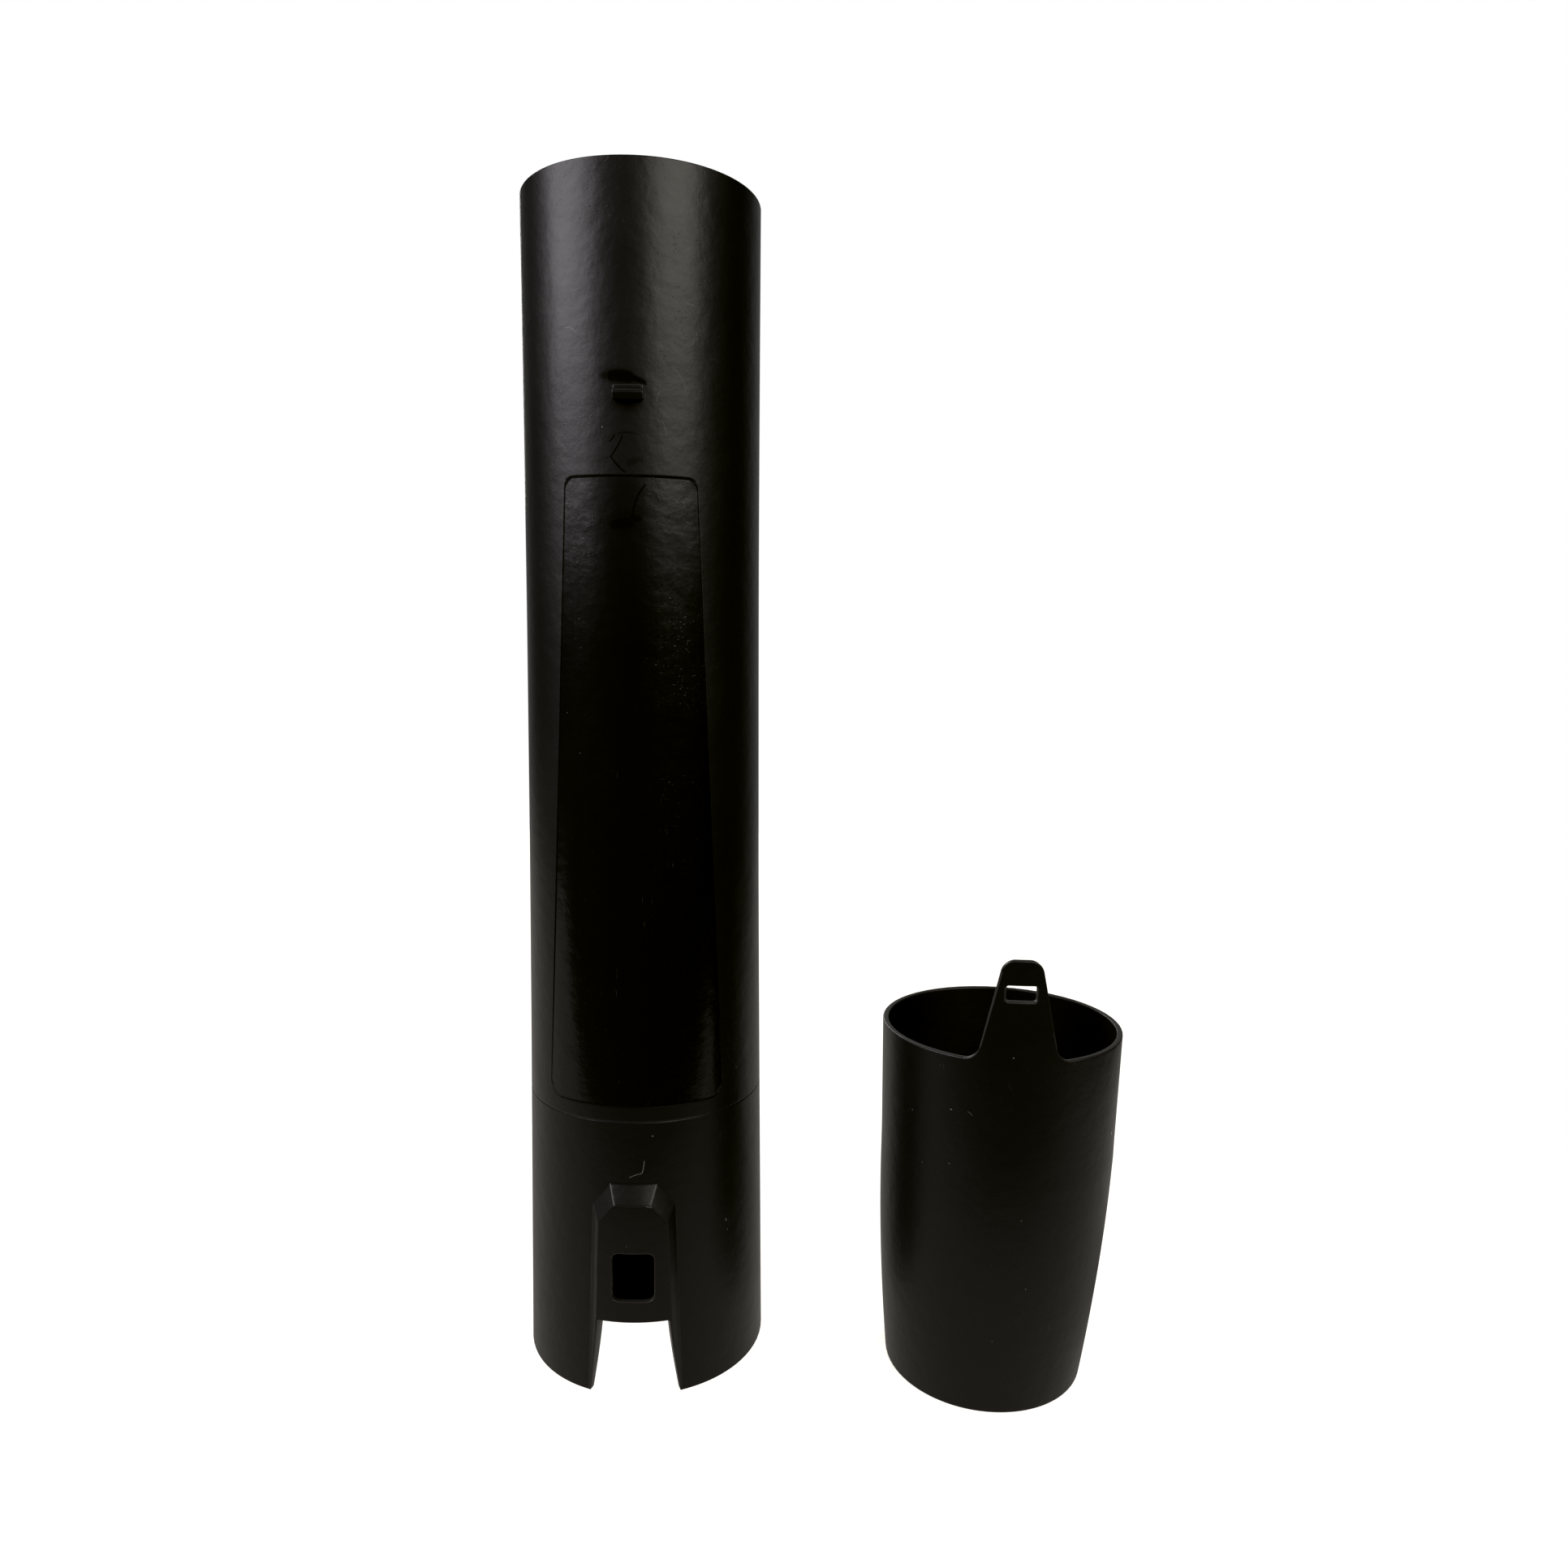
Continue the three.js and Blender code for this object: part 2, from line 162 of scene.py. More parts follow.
def plug(tree, slot, value):
    """Links a wire to a node's input, or sets the input to a plain value."""
    if isinstance(value, Wire):
        tree.links.new(value.socket, slot)
    else:
        slot.default_value = value


class Paint:
    """The node tree of a material or a world, with a short way to make and link nodes."""

    def __init__(self, owner, shader="Principled BSDF"):
        owner.use_nodes = True
        self.tree = owner.node_tree
        self.shader = self.tree.nodes[shader]

    def node(self, kind, output=0, settings=None, slots=(), **values):
        """Settings come first. slots fills inputs by number, and values by name, with _ for a space."""
        made = self.tree.nodes.new("ShaderNode" + kind)
        for key, value in (settings or {}).items():
            setattr(made, key, value)
        for number, value in slots:
            plug(self.tree, made.inputs[number], value)
        for key, value in values.items():
            plug(self.tree, made.inputs[key.replace("_", " ")], value)
        return Wire(self.tree, made.outputs[output])

    def attribute(self, name):
        return self.node("Attribute", "Fac", {"attribute_name": name})

    def mix(self, share, first, second):
        """Colour first where share is 0, second where it is 1."""
        return self.node("Mix", 2, {"data_type": "RGBA"}, ((0, share), (6, first), (7, second)))

    def set(self, **values):
        for key, value in values.items():
            plug(self.tree, self.shader.inputs[key.replace("_", " ")], value)


print("shader arithmetic ready")

# %% [markdown]
# ## Table and light
#
# Black plastic shows little but what it reflects, so the stage is built for its reflections. The table is
# white and runs far back. It ends a hand's width in front of the pair, so that the dark room shows in the
# plastic at middle height, and only the foot of each piece picks up the table's white. Two soft boxes high
# in front draw the two pale bands down the tube, and a third gives the back a soft edge. The table glows
# instead of being lit: then its white doesn't depend on the lamps, which can be set for the plastic alone.

# %% Stage
def flat_emitter(name, centre, aim, width, height, strength, colour):
    """A soft box: a rectangle of light at centre, facing aim."""
    data = bpy.data.lights.new(name, "AREA")
    data.shape, data.size, data.size_y = "RECTANGLE", width, height
    data.energy, data.color = strength, colour
    lamp = bpy.data.objects.new(name, data)
    bpy.context.scene.collection.objects.link(lamp)
    lamp.location = centre
    lamp.rotation_mode = "QUATERNION"
    lamp.rotation_quaternion = (Vector(aim) - Vector(centre)).to_track_quat("-Z", "Y")
    return lamp


def point_values(mesh, name, values):
    """Stores one number per point on a mesh, for a material to read."""
    mesh.attributes.new(name, "FLOAT", "POINT").data.foreach_set("value", values.ravel().astype(np.float32))


GRID = 1 * MM
SHADE_X, SHADE_Y, SHADE_R = NOZZLE_X + 62 * MM, NOZZLE_Y + 60 * MM, 65 * MM


def table_top(front, back, left, right):
    """A flat grid with a fine patch round the pair, where two masks are stored.

    open_floor is 1 on open table and falls to 0 on the dark floor inside the tube's foot, which is all
    points within the foot's radius and behind its middle. The front half stays open, where light comes in by
    the notch. lit_floor is 1 less 0.85 of a soft round spot, exp(-(distance / radius) squared), in the shade
    behind the nozzle."""
    x = np.unique(np.concatenate([[left, right], np.arange(-0.13, 0.2501, GRID)]))
    y = np.unique(np.concatenate([[front, back], np.arange(-0.07, 0.1601, GRID)]))
    xx, yy = np.meshgrid(x, y)
    points = np.stack([xx.ravel(), yy.ravel(), np.zeros(xx.size)], 1)
    i, j = np.meshgrid(np.arange(len(y) - 1), np.arange(len(x) - 1), indexing="ij")
    at = (i * len(x) + j).ravel()
    faces = np.stack([at, at + 1, at + 1 + len(x), at + len(x)], 1)
    mesh = bpy.data.meshes.new("table")
    mesh.from_pydata(points.tolist(), [], faces.tolist())
    # Painted shade: the floor's glow is cut to 0 inside the back half of the tube's foot.
    in_foot = np.clip((47.7 * MM - np.hypot(xx - TUBE_X, yy - TUBE_Y)) / GRID, 0, 1)
    behind_middle = np.clip((yy - TUBE_Y - 4 * MM) / (8 * MM), 0, 1)
    point_values(mesh, "open_floor", 1 - in_foot * behind_middle)
    from_shade = np.hypot(xx - SHADE_X, yy - SHADE_Y) / SHADE_R
    point_values(mesh, "lit_floor", 1 - 0.85 * np.exp(-(from_shade**2)))
    made = bpy.data.objects.new("table_top", mesh)
    bpy.context.scene.collection.objects.link(made)
    return made


def white_table():
    """Glowing paper. It is brighter to the camera than in reflections. On the nozzle's side, floor with
    little open sky above it is dark. The nozzle itself is the cover, so the dark goes when it is lifted. On
    the tube's side only the masks darken the floor."""
    paper = bpy.data.materials.new("white_table")
    paper.cycles.emission_sampling = "NONE"
    p = Paint(paper)
    # Painted shade: ambient occlusion cuts the glow where the nozzle covers the floor, under and inside it.
    sky = p.node("AmbientOcclusion", "AO", {"samples": 8}, Distance=0.2)
    uncovered = p.node("MapRange", "Result", Value=sky, From_Min=0.2, From_Max=0.34)
    across = p.node("SeparateXYZ", 0, Vector=p.node("TexCoord", "Object"))
    lit_here = uncovered.math("MAXIMUM", across.math("LESS_THAN", 0.0))
    seen = p.node("LightPath", "Is Camera Ray")
    level = p.node("MapRange", "Result", Value=seen, To_Min=p.attribute("lit_floor") * 0.5, To_Max=1.25)
    p.set(
        Base_Color=(0.03, 0.03, 0.03, 1), Roughness=0.9, Specular_IOR_Level=0.0,
        Emission_Color=(1.0, 0.955, 0.89, 1), Emission_Strength=p.attribute("open_floor") * lit_here * level)
    return paper


table_top(front=-0.2, back=1.3, left=-1.1, right=0.42).data.materials.append(white_table())

# %% [markdown]
# ## Lamps and room
#
# Each lamp is aimed at a point high on the tube's axis. The room is white to the camera and nearly black in
# reflections, but for a grey glow at the back that keeps the far sides from vanishing.

# %% Lamps and room
flat_emitter("box_left", (-1.485, -0.66, 1.17), (TUBE_X, 0, 0.42), 1.25, 1.0, 41, (1.0, 0.945, 1.01))
flat_emitter("box_right", (0.945, -1.30, 1.18), (TUBE_X, 0, 0.42), 1.3, 0.95, 32, (1.0, 0.95, 0.86))
flat_emitter("box_back", (-0.55, 1.75, 1.0), (TUBE_X, 0, 0.3), 0.5, 0.9, 11, (1.0, 0.97, 0.93))

world = bpy.data.worlds.new("room")
bpy.context.scene.world = world
air = Paint(world, "Background")
toward_back = air.node("SeparateXYZ", 1, Vector=air.node("TexCoord", "Generated"))
glow = air.node(
    "MapRange", "Result", {"interpolation_type": "SMOOTHSTEP"},
    Value=toward_back, From_Min=0.55, From_Max=0.95, To_Min=0.0004, To_Max=0.35)
air.set(Color=air.node("Mix", 0, slots=((0, air.node("LightPath", "Is Camera Ray")), (2, glow), (3, 1.0))))

view = bpy.context.scene.view_settings
view.view_transform = "Standard"
view.use_curve_mapping = True
view.curve_mapping.black_level = (0.0023, 0.0024, 0.0038)
view.curve_mapping.update()
print("stage ready")

# %% [markdown]
# ## The plastic
#
# One resin is used for both mouldings. Its skin is a fine satin grain with cloudy patches where hands have
# rubbed it. The label panel is smoother, and a smear by the catch is darker and glossier: both masks are
# stored on the mesh. Marks that have a place, such as scratches and specks, and the painted highlights along
# the edges of the boss, catch and tongue, could be painted on an image. As short strokes worked out in the
# shader they stay sharp at any distance and need no file. They are drawn on the unrolled surface, where one
# direction is arc length and the other is height.

# %% Strokes on the unrolled surface
def stroke(arc, rise, start, end, width, bend):
    """1 on a thin line from start to end, 0 a width away. The distance is split into the part past either
    end and the part to the side. bend lifts the middle to one side by a parabola. A line of no length is a
    speck."""
    (s0, h0), (s1, h1) = start, end
    s1 = s1 + 0.01 if start == end else s1
    length = math.hypot(s1 - s0, h1 - h0)
    c, k = (s1 - s0) / length, (h1 - h0) / length
    ahead = (arc - s0) * c + (rise - h0) * k
    held = ahead.math("MAXIMUM", 0.0).math("MINIMUM", length)
    aside = (rise - h0) * c - (arc - s0) * k
    if bend:
        share = held / length
        aside = aside - share * (1.0 - share) * (4 * bend)
    past = ahead - held
    return 1.0 - (past * past + aside * aside).math("SQRT").ramp(0.25 * width, width)


def strokes(arc, rise, lines):
    """The strongest of several strokes. A line is (start, end, width, strength, bend)."""
    total = None
    for start, end, width, strength, bend in lines:
        one_line = stroke(arc, rise, start, end, width, bend) * strength
        total = one_line if total is None else total.math("MAXIMUM", one_line)
    return total


# %% Material
BASE_ROUGHNESS = 0.38
DARK, PALE = (0.003, 0.003, 0.00279, 1), (0.42, 0.41, 0.38, 1)


def moulded_plastic(name, seed, axis_xy, facing, arc_length, lines, polished):
    """Satin black resin. The pattern follows Object coordinates, and the strokes follow arc and height."""
    material = bpy.data.materials.new(name)
    p = Paint(material)
    place = p.node("TexCoord", "Object")
    x, y, z = (p.node("SeparateXYZ", k, Vector=place) for k in range(3))
    arc = ((x - axis_xy[0]).math("ARCTAN2", axis_xy[1] - y) - facing) * arc_length
    rise = z * 1000.0
    panel, gloss, outside, edge = (p.attribute(key) for key in ("panel", "gloss", "outside", "edge"))

    def noise(shift, scale, detail, at=place, **more):
        more.update(Vector=at, Scale=scale, Detail=detail, W=seed + shift)
        return p.node("TexNoise", "Fac", {"noise_dimensions": "4D"}, **more)

    def drawn_out(height_scale):
        """The pattern's coordinates, squeezed upwards so that it is drawn out into upright lines."""
        slots = ((0, place), (1, (1.0, 1.0, height_scale)))
        return p.node("VectorMath", "Vector", {"operation": "MULTIPLY"}, slots)

    cloudy = noise(0, 14.0, 4.0)
    rubbed = noise(1, 42.0, 6.0, Roughness=0.65)
    grain = noise(0, 2600.0, 2.0)
    threads = noise(5, 1500.0, 2.0, at=drawn_out(0.14))
    fine = threads.ramp(0.64, 0.74) * rubbed.ramp(0.52, 0.66) * outside
    flecks = noise(9, 900.0, 3.0).ramp(0.60, 0.72) * rubbed.ramp(0.44, 0.60)
    brushed = noise(11, 1100.0, 2.0, at=drawn_out(0.03))
    cells = p.node("TexVoronoi", "Distance", {"voronoi_dimensions": "4D"}, Vector=place, Scale=95.0, W=seed)
    dust = (1.0 - cells.ramp(0.015, 0.04)) * noise(3, 60.0, 1.0).ramp(0.66, 0.70)
    # marks holds scratches and specks, and also painted highlights along the edges of the boss, catch and
    # tongue.
    marks = strokes(arc, rise, lines) * outside
    worn = strokes(arc, rise, polished) * outside if polished else 0.0

    pale = (marks + dust * 0.5 + fine * 0.03 + edge * (rubbed * 0.04)).math("MINIMUM", 1.0)
    rough = BASE_ROUGHNESS + (cloudy - 0.5) * 0.08 + (rubbed - 0.5) * 0.12 + (grain - 0.5) * 0.05
    on_panel = 1.0 - panel * (0.50 + (brushed - 0.5) * 0.15)
    rough = rough * on_panel - gloss * 0.15 + pale * 0.15 - worn * 0.27
    peel = noise(13, 170.0, 3.0)
    waves = p.node("Bump", "Normal", Height=peel + flecks * 0.15, Strength=1.0, Distance=0.0002)
    skin = p.node("Bump", "Normal", Height=grain, Strength=0.06, Distance=0.00006, Normal=waves)
    p.set(Base_Color=p.mix(pale, DARK, PALE), Roughness=rough, Specular_IOR_Level=0.2, IOR=1.5, Normal=skin)
    return material


# %% [markdown]
# ## Where the marks are
#
# Each mark is (start, end, width, strength, bend), with its ends as (arc, height) in millimetres from the
# middle of the front. They are listed one by one, since wear is never regular: scattered ones would look like
# noise.

# %% Marks
# Besides scratches and specks, these tables hold painted highlights: pale lines where rounded edges would
# catch the light.
TUBE_MARKS_AND_HIGHLIGHTS = [
    # painted highlights along the edges of the boss's top slope and down its flanks
    ((-9.0, 85.7), (-6.5, 79.2), 0.30, 0.14, 0.0), ((9.0, 85.7), (6.5, 79.2), 0.28, 0.08, 0.0),
    ((5.0, 79.0), (6.8, 78.6), 0.30, 0.12, 0.0), ((-6.4, 79.0), (5.0, 79.0), 0.25, 0.015, 0.0),
    ((-16.9, 57.0), (-17.4, 40.0), 0.25, 0.02, 0.0), ((-13.1, 50.0), (-13.6, 33.0), 0.3, 0.02, 0.0),
    # a bent scratch above the boss
    ((4.2, 95.0), (3.3, 90.2), 0.16, 0.30, 0.2), ((3.3, 90.2), (-1.4, 88.6), 0.16, 0.22, -0.2),
    # scratches below the tube's end
    ((16.8, 377.0), (21.6, 370.6), 0.22, 0.07, 0.6), ((21.6, 370.6), (22.6, 364.0), 0.22, 0.03, 0.2),
    ((-25.4, 389.8), (-20.5, 387.8), 0.28, 0.10, 0.8), ((21.6, 397.7), (25.8, 397.2), 0.22, 0.08, 0.3),
    ((12.4, 359.7), (14.2, 354.4), 0.25, 0.06, 0.3), ((10.5, 365.6), (11.7, 368.8), 0.25, 0.06, 0.2),
    ((14.0, 412.0), (17.5, 404.0), 0.18, 0.03, 0.4), ((18.0, 408.0), (21.0, 411.0), 0.18, 0.03, -0.3),
    ((-22.0, 402.0), (-20.5, 396.5), 0.2, 0.04, 0.3), ((-9.9, 357.0), (-9.9, 357.0), 0.25, 0.5, 0.0),
    # painted highlights along the catch's edges and across its ramp
    ((-5.4, 370.5), (5.4, 370.5), 0.25, 0.05, 0.0), ((-5.3, 370.4), (-5.4, 366.2), 0.25, 0.05, 0.0),
    ((5.3, 370.4), (5.4, 366.2), 0.25, 0.04, 0.0), ((-4.8, 368.7), (4.8, 368.7), 0.35, 0.03, 0.0),
    # specks
    ((7.4, 104.7), (7.5, 104.7), 0.26, 0.54, 0.0), ((45.6, 124.6), (45.6, 124.8), 0.20, 0.30, 0.0),
    ((48.1, 154.7), (48.1, 154.7), 0.20, 0.24, 0.0), ((-50.1, 61.4), (-50.1, 61.4), 0.24, 0.30, 0.0),
    ((38.8, 64.9), (39.2, 63.9), 0.24, 0.30, 0.0), ((39.7, 60.2), (39.7, 60.0), 0.24, 0.30, 0.0),
    ((-2.2, 63.1), (-2.2, 63.1), 0.20, 0.24, 0.0), ((-26.8, 260.4), (-26.8, 260.4), 0.24, 0.21, 0.0),
    ((-20.7, 246.2), (-20.7, 246.2), 0.24, 0.21, 0.0), ((14.7, 236.5), (14.7, 236.5), 0.24, 0.18, 0.0),
]
TUBE_POLISHED = [
    # the smear above the catch
    ((-6.0, 373.5), (0.5, 373.0), 2.5, 0.75, 0.2), ((-9.8, 373.6), (-6.0, 373.5), 1.7, 0.3, 0.0),
    ((0.5, 372.8), (6.0, 371.3), 1.4, 0.75, 0.3),
    # dark polished rubs above the panel and on its top
    ((-5.2, 354.5), (-7.0, 352.4), 0.4, 0.8, 0.2), ((-2.2, 354.1), (-6.4, 347.7), 0.45, 0.7, 0.3),
    ((-6.7, 347.4), (-1.4, 342.3), 0.45, 0.9, -0.3), ((0.2, 345.3), (4.4, 346.4), 1.6, 0.25, 0.2),
    ((-4.0, 354.8), (3.5, 354.6), 0.5, 0.3, 0.5), ((-12.5, 345.5), (-7.5, 347.2), 0.5, 0.2, 0.3),
    ((6.2, 338.3), (1.4, 327.6), 0.4, 1.0, -1.1), ((-5.6, 324.9), (0.2, 325.6), 2.2, 0.35, 0.2),
    ((1.4, 327.4), (3.6, 327.0), 1.5, 0.4, 0.0),
]
NOZZLE_MARKS_AND_HIGHLIGHTS = [
    # painted highlights along the edges of the tongue and its slot
    ((-7.2, 173.6), (-13.6, 146.0), 0.35, 0.05, 0.0), ((-13.6, 146.0), (-17.5, 141.4), 0.3, 0.04, -0.8),
    ((12.0, 152.0), (13.7, 145.8), 0.3, 0.025, 0.0), ((13.7, 145.8), (17.5, 141.4), 0.3, 0.04, 0.8),
    ((-4.9, 162.9), (4.9, 162.9), 0.35, 0.03, 0.0), ((-5.9, 163.5), (-5.9, 168.5), 0.3, 0.03, 0.0),
    # specks and a short scratch
    ((-1.9, 142.9), (-1.8, 142.9), 0.26, 0.42, 0.0), ((-23.7, 120.6), (-23.2, 120.4), 0.24, 0.30, 0.0),
    ((4.0, 81.1), (4.0, 81.1), 0.26, 0.30, 0.0), ((7.4, 53.5), (7.4, 53.5), 0.26, 0.30, 0.0),
    ((49.7, 105.6), (49.7, 105.2), 0.5, 1.0, 0.0), ((-35.1, 96.4), (-35.1, 96.4), 0.22, 0.24, 0.0),
    ((-23.6, 99.6), (-23.4, 99.6), 0.22, 0.24, 0.0), ((-40.8, 115.3), (-40.8, 115.0), 0.24, 0.18, 0.0),
    ((-4.5, 31.3), (-4.5, 31.3), 0.24, 0.24, 0.0), ((-17.1, 121.0), (-15.5, 119.8), 0.2, 0.10, 0.2),
]
tube_plastic = moulded_plastic(
    "satin_black_tube", seed=1.0, axis_xy=(TUBE_X, TUBE_Y), facing=0.0, arc_length=TUBE_ARC,
    lines=TUBE_MARKS_AND_HIGHLIGHTS, polished=TUBE_POLISHED)
nozzle_plastic = moulded_plastic(
    "satin_black_nozzle", seed=7.0, axis_xy=(NOZZLE_X, NOZZLE_Y), facing=NOZZLE_TURN, arc_length=NOZZLE_ARC,
    lines=NOZZLE_MARKS_AND_HIGHLIGHTS, polished=[])
print("marks:", len(TUBE_MARKS_AND_HIGHLIGHTS), len(TUBE_POLISHED), len(NOZZLE_MARKS_AND_HIGHLIGHTS))

# %% [markdown]
# ## A moulding as a wrapped sheet
#
# Each moulding is one sheet of plastic wrapped round a vertical axis. The notch, window and slot could be
# cut with booleans, but those leave ragged faces round each cut, and a bevel fails on them. Here a point of
# the sheet has an azimuth, a height, an outside radius and an inside radius, and a signed distance says
# where the plastic ends: below zero is plastic, above zero is air. The grid's cells that lie in air are
# dropped, the points round the gap are drawn onto its outline, and a wall with rounded edges joins the
# outside to the inside.

# %% Outline arithmetic
def inside_both(a, b, r):
    """The overlap of two outlines, with the corner where they cross rounded by r."""
    return np.minimum(np.maximum(a, b), -r) + np.hypot(np.maximum(a + r, 0), np.maximum(b + r, 0))


def inside_either(a, b, r):
    """The union of two outlines, with the inner corner where they cross filled by radius r."""
    return -inside_both(-a, -b, r)


def softer(t, k):
    """t held between 0 and 1, with both bends eased over k."""
    low = np.where(t < k, np.where(t < -k, 0, (t + k) ** 2 / (4 * k)), t)
    u = 1 - low
    return 1 - np.where(u < k, np.where(u < -k, 0, (u + k) ** 2 / (4 * k)), u)


def soft_min(a, b, k):
    """The lesser of two slopes, with the edge between them eased over k."""
    h = np.clip(0.5 + 0.5 * (b - a) / k, 0, 1)
    return b + (a - b) * h - k * h * (1 - h)


# %% Sheet builder
def fan(*bands):
    """Azimuths across one row and its mirror image, from just past the back seam round the front to the
    seam. A band is (edge, count, growth): count steps up to that edge, each larger than the last when growth
    is over 1. Edges are one number per row."""
    start = np.zeros_like(bands[0][0])
    parts = [start[:, None]]
    for edge, count, growth in bands:
        t = (np.arange(1, count + 1) / count) ** growth
        parts.append(start[:, None] + (edge - start)[:, None] * t)
        start = edge
    half = np.concatenate(parts, 1)
    return np.concatenate([-half[:, -2:0:-1], half], 1)


def stops(*runs):
    """Heights from (end, step) runs: equal steps near the asked size up to each end."""
    at, out = runs[0], [runs[0]]
    for end, step in runs[1:]:
        count = max(1, round((end - at) / step))
        out.extend(at + (end - at) * np.arange(1, count + 1) / count)
        at = end
    return np.array(out)


def moulding(
    name, azimuth, height, axis, outer, inner, plastic, fillet, unit,
    open_low=False, open_high=False, masks=None,
):
    """Builds the wrapped sheet and returns its object.

    azimuth is rows by columns, height is one per row. axis(z) gives x, y of the middle at height z, and a
    facing angle. outer, inner and plastic take azimuth and height arrays. unit is the length of one radian
    where the outline is measured. Each ring of the wall goes out by fillet*sin(t) and down by
    fillet*(1-cos(t)), for t up to a quarter turn, first from the outside and then, mirrored, from the
    inside. open_low and open_high leave that end of the sheet without a wall, where another sheet carries
    on."""
    masks = masks or {}
    rows, cols = azimuth.shape
    a = azimuth.copy()
    z = np.repeat(height[:, None], cols, 1)

    # A cell is solid where its middle lies inside the outline by more than the fillet.
    a_next = np.roll(a, -1, 1)
    a_next[:, -1] += 2 * np.pi
    ac = (a[:-1] + a[1:] + a_next[:-1] + a_next[1:]) / 4
    zc = (z[:-1] + z[1:]) / 2
    solid = plastic(ac, zc) + fillet < 0

    # A rim point touches a solid cell, but isn't shut in by them. Four cells shut a point in, or two on an
    # open end, and on any other end nothing does, which the 9 stands for.
    touch = np.zeros((rows, cols), int)
    for di in (0, 1):
        for dj in (0, 1):
            touch[di : rows - 1 + di] += np.roll(solid, dj, 1)
    full = np.full((rows, cols), 4)
    full[0], full[-1] = (2 if open_low else 9), (2 if open_high else 9)
    rim = (touch > 0) & (touch < full)

    def slope(aa, zz):
        """How fast the signed distance grows along the arc and upwards, from a short step either way."""
        step = 2e-5
        ga = (plastic(aa + step / unit, zz) - plastic(aa - step / unit, zz)) / (2 * step)
        gz = (plastic(aa, zz + step) - plastic(aa, zz - step)) / (2 * step)
        return ga, gz

    # Five of Newton's steps draw the rim points onto the line that runs a fillet inside the outline.
    ra, rz = a[rim], z[rim]
    for _ in range(5):
        ga, gz = slope(ra, rz)
        d = (plastic(ra, rz) + fillet) / np.maximum(ga**2 + gz**2, 1e-6)
        ra, rz = ra - d * ga / unit, rz - d * gz
    a[rim], z[rim] = ra, rz
    ga, gz = slope(ra, rz)
    length = np.hypot(ga, gz)
    ga, gz = ga / length, gz / length

    def place(aa, zz, r):
        """Points at these azimuths, heights and radii about the axis."""
        x, y, facing = axis(zz)
        return np.stack([x + r * np.sin(aa + facing), y - r * np.cos(aa + facing), zz], -1)

    # The points are the outside, the inside, and the wall's rings in order from the outside inwards.
    r_out, r_in = outer(a, z), inner(a, z)
    sheets = [place(a, z, r_out).reshape(-1, 3), place(a, z, r_in).reshape(-1, 3)]
    rim_ids = np.flatnonzero(rim.ravel())
    ring_of = np.full(rows * cols, -1)
    ring_of[rim_ids] = np.arange(len(rim_ids))
    turns = np.radians([30, 60, 90])
    rings = []
    for t in turns:
        out = fillet * np.sin(t)
        rings.append(place(ra + ga * out / unit, rz + gz * out, r_out[rim] - fillet * (1 - np.cos(t))))
    for t in turns[::-1]:
        out = fillet * np.sin(t)
        rings.append(place(ra + ga * out / unit, rz + gz * out, r_in[rim] + fillet * (1 - np.cos(t))))
    points = np.concatenate(sheets + rings)
    n = rows * cols

    # Each solid cell gives one face outside and one inside.
    i, j = np.nonzero(solid)
    jn = (j + 1) % cols
    v00, v01, v11, v10 = i * cols + j, i * cols + jn, (i + 1) * cols + jn, (i + 1) * cols + j
    faces = [np.stack([v00, v01, v11, v10], 1), np.stack([v00, v10, v11, v01], 1) + n]

    # Where a solid cell's neighbour is air, strips of wall join its two faces by way of the rings.
    padded = np.zeros((rows + 1, cols), bool)
    padded[1:-1] = solid
    below, above = padded[i, j], padded[i + 2, j]
    if open_low:
        below = below | (i == 0)
    if open_high:
        above = above | (i == rows - 2)
    to_left, to_right = solid[i, (j - 1) % cols], solid[i, jn]
    start = np.concatenate([v00[~below], v01[~to_right], v11[~above], v10[~to_left]])
    stop = np.concatenate([v01[~below], v11[~to_right], v10[~above], v00[~to_left]])
    ring_starts = [2 * n + k * len(rim_ids) for k in range(len(rings))]
    layers = [(start, stop)] + [(first + ring_of[start], first + ring_of[stop]) for first in ring_starts]
    layers.append((start + n, stop + n))
    for (near_start, near_stop), (far_start, far_stop) in zip(layers, layers[1:]):
        faces.append(np.stack([near_stop, near_start, far_start, far_stop], 1))
    faces = np.concatenate(faces)

    # Points that no face uses are dropped, and the rest go into the mesh.
    used = np.unique(faces)
    lookup = np.full(len(points), -1)
    lookup[used] = np.arange(len(used))
    faces = lookup[faces]
    mesh = bpy.data.meshes.new(name)
    mesh.vertices.add(len(used))
    mesh.vertices.foreach_set("co", points[used].astype(np.float32).ravel())
    mesh.loops.add(faces.size)
    mesh.loops.foreach_set("vertex_index", faces.astype(np.int32).ravel())
    mesh.polygons.add(len(faces))
    mesh.polygons.foreach_set("loop_start", np.arange(0, faces.size, 4, dtype=np.int32))
    mesh.update(calc_edges=True)
    mesh.validate()
    mesh.shade_smooth()

    # The material's masks, one number per point. All are 0 on the inside, and edge is 1 on the rings only.
    flat_a = np.concatenate([a.ravel(), a.ravel()] + [ra] * len(rings))
    flat_z = np.concatenate([z.ravel(), z.ravel()] + [rz] * len(rings))
    outside = np.concatenate([np.ones(n), np.zeros(n)] + [np.ones(len(rim_ids))] * len(rings))
    for key in ("panel", "gloss", "outside"):
        value = outside * (masks[key](flat_a, flat_z) if key in masks else key == "outside")
        point_values(mesh, key, value[used])
    rounded = np.concatenate([np.zeros(2 * n)] + [np.ones(len(rim_ids))] * len(rings))
    point_values(mesh, "edge", rounded[used])
    made = bpy.data.objects.new(name, mesh)
    bpy.context.scene.collection.objects.link(made)
    print(name, len(faces) * 2, "triangles")
    return made


